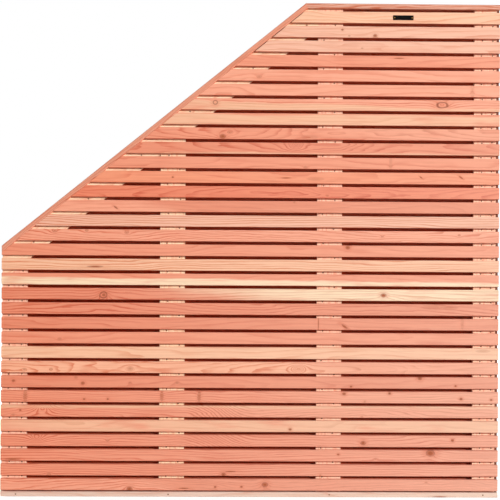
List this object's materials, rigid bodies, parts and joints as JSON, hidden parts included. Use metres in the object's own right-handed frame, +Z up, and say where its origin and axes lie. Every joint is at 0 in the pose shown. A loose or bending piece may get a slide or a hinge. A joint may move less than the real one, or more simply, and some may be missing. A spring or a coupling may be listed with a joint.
{
  "type": "wooden fence panel",
  "caption": "Slatted timber fence panel with a sloped upper corner: staggered front and back slats on upright battens, with mitred capping boards.",
  "frame": {"origin": "on the ground at the middle of the panel's width and depth", "axes": "+Z up, +X to the right along the slats as seen from the front, front towards -Y"},
  "size_m": [1.8, 0.0589, 1.79],
  "materials": {
    "slat_wood": "planed, untreated",
    "batten_wood": "planed, untreated",
    "cap_wood": "planed, untreated",
    "plate_black": "satin",
    "screw_steel": "satin",
    "screw_brass": "satin"
  },
  "bodies": {
    "root": {"back_slats_01_to_04": "slat_wood", "back_slats_05_to_08": "slat_wood", "back_slats_09_to_12": "slat_wood", "back_slats_13_to_16": "slat_wood", "back_slats_17_to_20": "slat_wood", "back_slats_21_to_24": "slat_wood", "back_slats_25_to_28": "slat_wood", "back_slats_29_to_32": "slat_wood", "back_slats_33_to_34": "slat_wood", "cap_screws": "screw_steel", "front_base_strip": "slat_wood", "front_slat_01": "slat_wood", "front_slat_02": "slat_wood", "front_slat_03": "slat_wood", "front_slat_04": "slat_wood", "front_slat_05": "slat_wood", "front_slat_06": "slat_wood", "front_slat_07": "slat_wood", "front_slat_08": "slat_wood", "front_slat_09": "slat_wood", "front_slat_10": "slat_wood", "front_slat_11": "slat_wood", "front_slat_12": "slat_wood", "front_slat_13": "slat_wood", "front_slat_14": "slat_wood", "front_slat_15": "slat_wood", "front_slat_16": "slat_wood", "front_slat_17": "slat_wood", "front_slat_18": "slat_wood", "front_slat_19": "slat_wood", "front_slat_20": "slat_wood", "front_slat_21": "slat_wood", "front_slat_22": "slat_wood", "front_slat_23": "slat_wood", "front_slat_24": "slat_wood", "front_slat_25": "slat_wood", "front_slat_26": "slat_wood", "front_slat_27": "slat_wood", "front_slat_28": "slat_wood", "front_slat_29": "slat_wood", "front_slat_30": "slat_wood", "front_slat_31": "slat_wood", "front_slat_32": "slat_wood", "front_slat_33": "slat_wood", "name_plate": "plate_black", "plate_screws": "screw_brass", "slope_batten": "batten_wood", "slope_cap": "cap_wood", "top_cap": "cap_wood", "upright_batten_1": "batten_wood", "upright_batten_2": "batten_wood", "upright_batten_3": "batten_wood", "upright_batten_4": "batten_wood"}
  },
  "joints": []
}
